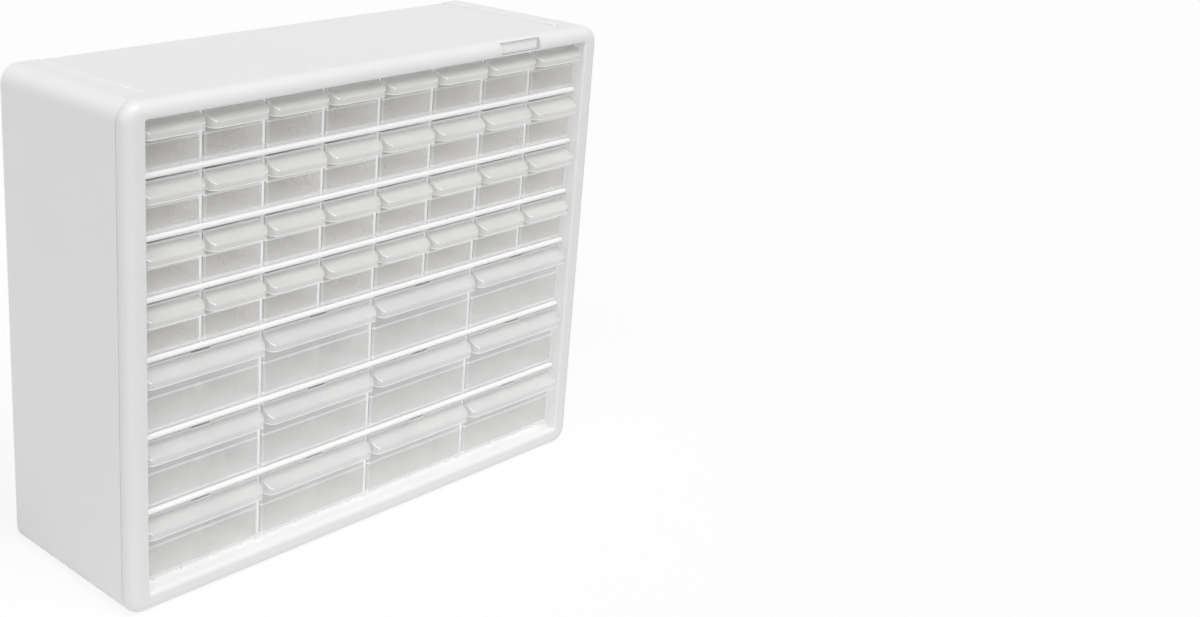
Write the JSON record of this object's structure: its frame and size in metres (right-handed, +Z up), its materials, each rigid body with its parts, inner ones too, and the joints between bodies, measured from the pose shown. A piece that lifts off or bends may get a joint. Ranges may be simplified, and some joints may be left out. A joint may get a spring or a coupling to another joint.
{
  "type": "parts bin cabinet",
  "caption": "Bench-top small-parts cabinet: a white moulded carcass with rounded edges, filled with rows of clear sliding drawers that have hooded finger pulls.",
  "frame": {"origin": "centre of the rectangle that the cabinet stands on", "axes": "+X to the right as seen from the front, along the width; -Y out of the front, the way the drawers open; +Z up"},
  "size_m": [0.508, 0.16, 0.4],
  "materials": {
    "white_polystyrene": "satin moulded high-impact polystyrene, faintly textured",
    "clear_polystyrene": "clear glossy moulded polystyrene"
  },
  "bodies": {
    "cabinet": {"outer_shell": "white_polystyrene", "front_frame": "white_polystyrene", "back_panel": "white_polystyrene", "base_deck": "white_polystyrene", "top_liner": "white_polystyrene", "left_liner": "white_polystyrene", "right_liner": "white_polystyrene", "shelf_1": "white_polystyrene", "shelf_2": "white_polystyrene", "shelf_3": "white_polystyrene", "shelf_4": "white_polystyrene", "shelf_5": "white_polystyrene", "shelf_6": "white_polystyrene", "small_bay_dividers": "white_polystyrene", "large_bay_dividers": "white_polystyrene", "badge_plate": "white_polystyrene"},
    "small_drawer_r1_c1": {"small_drawer_r1_c1": "clear_polystyrene"},
    "small_drawer_r1_c2": {"small_drawer_r1_c2": "clear_polystyrene"},
    "small_drawer_r1_c3": {"small_drawer_r1_c3": "clear_polystyrene"},
    "small_drawer_r1_c4": {"small_drawer_r1_c4": "clear_polystyrene"},
    "small_drawer_r1_c5": {"small_drawer_r1_c5": "clear_polystyrene"},
    "small_drawer_r1_c6": {"small_drawer_r1_c6": "clear_polystyrene"},
    "small_drawer_r1_c7": {"small_drawer_r1_c7": "clear_polystyrene"},
    "small_drawer_r1_c8": {"small_drawer_r1_c8": "clear_polystyrene"},
    "small_drawer_r2_c1": {"small_drawer_r2_c1": "clear_polystyrene"},
    "small_drawer_r2_c2": {"small_drawer_r2_c2": "clear_polystyrene"},
    "small_drawer_r2_c3": {"small_drawer_r2_c3": "clear_polystyrene"},
    "small_drawer_r2_c4": {"small_drawer_r2_c4": "clear_polystyrene"},
    "small_drawer_r2_c5": {"small_drawer_r2_c5": "clear_polystyrene"},
    "small_drawer_r2_c6": {"small_drawer_r2_c6": "clear_polystyrene"},
    "small_drawer_r2_c7": {"small_drawer_r2_c7": "clear_polystyrene"},
    "small_drawer_r2_c8": {"small_drawer_r2_c8": "clear_polystyrene"},
    "small_drawer_r3_c1": {"small_drawer_r3_c1": "clear_polystyrene"},
    "small_drawer_r3_c2": {"small_drawer_r3_c2": "clear_polystyrene"},
    "small_drawer_r3_c3": {"small_drawer_r3_c3": "clear_polystyrene"},
    "small_drawer_r3_c4": {"small_drawer_r3_c4": "clear_polystyrene"},
    "small_drawer_r3_c5": {"small_drawer_r3_c5": "clear_polystyrene"},
    "small_drawer_r3_c6": {"small_drawer_r3_c6": "clear_polystyrene"},
    "small_drawer_r3_c7": {"small_drawer_r3_c7": "clear_polystyrene"},
    "small_drawer_r3_c8": {"small_drawer_r3_c8": "clear_polystyrene"},
    "small_drawer_r4_c1": {"small_drawer_r4_c1": "clear_polystyrene"},
    "small_drawer_r4_c2": {"small_drawer_r4_c2": "clear_polystyrene"},
    "small_drawer_r4_c3": {"small_drawer_r4_c3": "clear_polystyrene"},
    "small_drawer_r4_c4": {"small_drawer_r4_c4": "clear_polystyrene"},
    "small_drawer_r4_c5": {"small_drawer_r4_c5": "clear_polystyrene"},
    "small_drawer_r4_c6": {"small_drawer_r4_c6": "clear_polystyrene"},
    "small_drawer_r4_c7": {"small_drawer_r4_c7": "clear_polystyrene"},
    "small_drawer_r4_c8": {"small_drawer_r4_c8": "clear_polystyrene"},
    "large_drawer_r1_c1": {"large_drawer_r1_c1": "clear_polystyrene"},
    "large_drawer_r1_c2": {"large_drawer_r1_c2": "clear_polystyrene"},
    "large_drawer_r1_c3": {"large_drawer_r1_c3": "clear_polystyrene"},
    "large_drawer_r1_c4": {"large_drawer_r1_c4": "clear_polystyrene"},
    "large_drawer_r2_c1": {"large_drawer_r2_c1": "clear_polystyrene"},
    "large_drawer_r2_c2": {"large_drawer_r2_c2": "clear_polystyrene"},
    "large_drawer_r2_c3": {"large_drawer_r2_c3": "clear_polystyrene"},
    "large_drawer_r2_c4": {"large_drawer_r2_c4": "clear_polystyrene"},
    "large_drawer_r3_c1": {"large_drawer_r3_c1": "clear_polystyrene"},
    "large_drawer_r3_c2": {"large_drawer_r3_c2": "clear_polystyrene"},
    "large_drawer_r3_c3": {"large_drawer_r3_c3": "clear_polystyrene"},
    "large_drawer_r3_c4": {"large_drawer_r3_c4": "clear_polystyrene"}
  },
  "joints": [
    {"name": "small_drawer_r1_c1_slide", "type": "slide", "parent": "cabinet", "child": "small_drawer_r1_c1", "axis": [0, -1, 0], "range_m": [0, 0.118]},
    {"name": "small_drawer_r1_c2_slide", "type": "slide", "parent": "cabinet", "child": "small_drawer_r1_c2", "axis": [0, -1, 0], "range_m": [0, 0.118]},
    {"name": "small_drawer_r1_c3_slide", "type": "slide", "parent": "cabinet", "child": "small_drawer_r1_c3", "axis": [0, -1, 0], "range_m": [0, 0.118]},
    {"name": "small_drawer_r1_c4_slide", "type": "slide", "parent": "cabinet", "child": "small_drawer_r1_c4", "axis": [0, -1, 0], "range_m": [0, 0.118]},
    {"name": "small_drawer_r1_c5_slide", "type": "slide", "parent": "cabinet", "child": "small_drawer_r1_c5", "axis": [0, -1, 0], "range_m": [0, 0.118]},
    {"name": "small_drawer_r1_c6_slide", "type": "slide", "parent": "cabinet", "child": "small_drawer_r1_c6", "axis": [0, -1, 0], "range_m": [0, 0.118]},
    {"name": "small_drawer_r1_c7_slide", "type": "slide", "parent": "cabinet", "child": "small_drawer_r1_c7", "axis": [0, -1, 0], "range_m": [0, 0.118]},
    {"name": "small_drawer_r1_c8_slide", "type": "slide", "parent": "cabinet", "child": "small_drawer_r1_c8", "axis": [0, -1, 0], "range_m": [0, 0.118]},
    {"name": "small_drawer_r2_c1_slide", "type": "slide", "parent": "cabinet", "child": "small_drawer_r2_c1", "axis": [0, -1, 0], "range_m": [0, 0.118]},
    {"name": "small_drawer_r2_c2_slide", "type": "slide", "parent": "cabinet", "child": "small_drawer_r2_c2", "axis": [0, -1, 0], "range_m": [0, 0.118]},
    {"name": "small_drawer_r2_c3_slide", "type": "slide", "parent": "cabinet", "child": "small_drawer_r2_c3", "axis": [0, -1, 0], "range_m": [0, 0.118]},
    {"name": "small_drawer_r2_c4_slide", "type": "slide", "parent": "cabinet", "child": "small_drawer_r2_c4", "axis": [0, -1, 0], "range_m": [0, 0.118]},
    {"name": "small_drawer_r2_c5_slide", "type": "slide", "parent": "cabinet", "child": "small_drawer_r2_c5", "axis": [0, -1, 0], "range_m": [0, 0.118]},
    {"name": "small_drawer_r2_c6_slide", "type": "slide", "parent": "cabinet", "child": "small_drawer_r2_c6", "axis": [0, -1, 0], "range_m": [0, 0.118]},
    {"name": "small_drawer_r2_c7_slide", "type": "slide", "parent": "cabinet", "child": "small_drawer_r2_c7", "axis": [0, -1, 0], "range_m": [0, 0.118]},
    {"name": "small_drawer_r2_c8_slide", "type": "slide", "parent": "cabinet", "child": "small_drawer_r2_c8", "axis": [0, -1, 0], "range_m": [0, 0.118]},
    {"name": "small_drawer_r3_c1_slide", "type": "slide", "parent": "cabinet", "child": "small_drawer_r3_c1", "axis": [0, -1, 0], "range_m": [0, 0.118]},
    {"name": "small_drawer_r3_c2_slide", "type": "slide", "parent": "cabinet", "child": "small_drawer_r3_c2", "axis": [0, -1, 0], "range_m": [0, 0.118]},
    {"name": "small_drawer_r3_c3_slide", "type": "slide", "parent": "cabinet", "child": "small_drawer_r3_c3", "axis": [0, -1, 0], "range_m": [0, 0.118]},
    {"name": "small_drawer_r3_c4_slide", "type": "slide", "parent": "cabinet", "child": "small_drawer_r3_c4", "axis": [0, -1, 0], "range_m": [0, 0.118]},
    {"name": "small_drawer_r3_c5_slide", "type": "slide", "parent": "cabinet", "child": "small_drawer_r3_c5", "axis": [0, -1, 0], "range_m": [0, 0.118]},
    {"name": "small_drawer_r3_c6_slide", "type": "slide", "parent": "cabinet", "child": "small_drawer_r3_c6", "axis": [0, -1, 0], "range_m": [0, 0.118]},
    {"name": "small_drawer_r3_c7_slide", "type": "slide", "parent": "cabinet", "child": "small_drawer_r3_c7", "axis": [0, -1, 0], "range_m": [0, 0.118]},
    {"name": "small_drawer_r3_c8_slide", "type": "slide", "parent": "cabinet", "child": "small_drawer_r3_c8", "axis": [0, -1, 0], "range_m": [0, 0.118]},
    {"name": "small_drawer_r4_c1_slide", "type": "slide", "parent": "cabinet", "child": "small_drawer_r4_c1", "axis": [0, -1, 0], "range_m": [0, 0.118]},
    {"name": "small_drawer_r4_c2_slide", "type": "slide", "parent": "cabinet", "child": "small_drawer_r4_c2", "axis": [0, -1, 0], "range_m": [0, 0.118]},
    {"name": "small_drawer_r4_c3_slide", "type": "slide", "parent": "cabinet", "child": "small_drawer_r4_c3", "axis": [0, -1, 0], "range_m": [0, 0.118]},
    {"name": "small_drawer_r4_c4_slide", "type": "slide", "parent": "cabinet", "child": "small_drawer_r4_c4", "axis": [0, -1, 0], "range_m": [0, 0.118]},
    {"name": "small_drawer_r4_c5_slide", "type": "slide", "parent": "cabinet", "child": "small_drawer_r4_c5", "axis": [0, -1, 0], "range_m": [0, 0.118]},
    {"name": "small_drawer_r4_c6_slide", "type": "slide", "parent": "cabinet", "child": "small_drawer_r4_c6", "axis": [0, -1, 0], "range_m": [0, 0.118]},
    {"name": "small_drawer_r4_c7_slide", "type": "slide", "parent": "cabinet", "child": "small_drawer_r4_c7", "axis": [0, -1, 0], "range_m": [0, 0.118]},
    {"name": "small_drawer_r4_c8_slide", "type": "slide", "parent": "cabinet", "child": "small_drawer_r4_c8", "axis": [0, -1, 0], "range_m": [0, 0.118]},
    {"name": "large_drawer_r1_c1_slide", "type": "slide", "parent": "cabinet", "child": "large_drawer_r1_c1", "axis": [0, -1, 0], "range_m": [0, 0.118]},
    {"name": "large_drawer_r1_c2_slide", "type": "slide", "parent": "cabinet", "child": "large_drawer_r1_c2", "axis": [0, -1, 0], "range_m": [0, 0.118]},
    {"name": "large_drawer_r1_c3_slide", "type": "slide", "parent": "cabinet", "child": "large_drawer_r1_c3", "axis": [0, -1, 0], "range_m": [0, 0.118]},
    {"name": "large_drawer_r1_c4_slide", "type": "slide", "parent": "cabinet", "child": "large_drawer_r1_c4", "axis": [0, -1, 0], "range_m": [0, 0.118]},
    {"name": "large_drawer_r2_c1_slide", "type": "slide", "parent": "cabinet", "child": "large_drawer_r2_c1", "axis": [0, -1, 0], "range_m": [0, 0.118]},
    {"name": "large_drawer_r2_c2_slide", "type": "slide", "parent": "cabinet", "child": "large_drawer_r2_c2", "axis": [0, -1, 0], "range_m": [0, 0.118]},
    {"name": "large_drawer_r2_c3_slide", "type": "slide", "parent": "cabinet", "child": "large_drawer_r2_c3", "axis": [0, -1, 0], "range_m": [0, 0.118]},
    {"name": "large_drawer_r2_c4_slide", "type": "slide", "parent": "cabinet", "child": "large_drawer_r2_c4", "axis": [0, -1, 0], "range_m": [0, 0.118]},
    {"name": "large_drawer_r3_c1_slide", "type": "slide", "parent": "cabinet", "child": "large_drawer_r3_c1", "axis": [0, -1, 0], "range_m": [0, 0.118]},
    {"name": "large_drawer_r3_c2_slide", "type": "slide", "parent": "cabinet", "child": "large_drawer_r3_c2", "axis": [0, -1, 0], "range_m": [0, 0.118]},
    {"name": "large_drawer_r3_c3_slide", "type": "slide", "parent": "cabinet", "child": "large_drawer_r3_c3", "axis": [0, -1, 0], "range_m": [0, 0.118]},
    {"name": "large_drawer_r3_c4_slide", "type": "slide", "parent": "cabinet", "child": "large_drawer_r3_c4", "axis": [0, -1, 0], "range_m": [0, 0.118]}
  ]
}
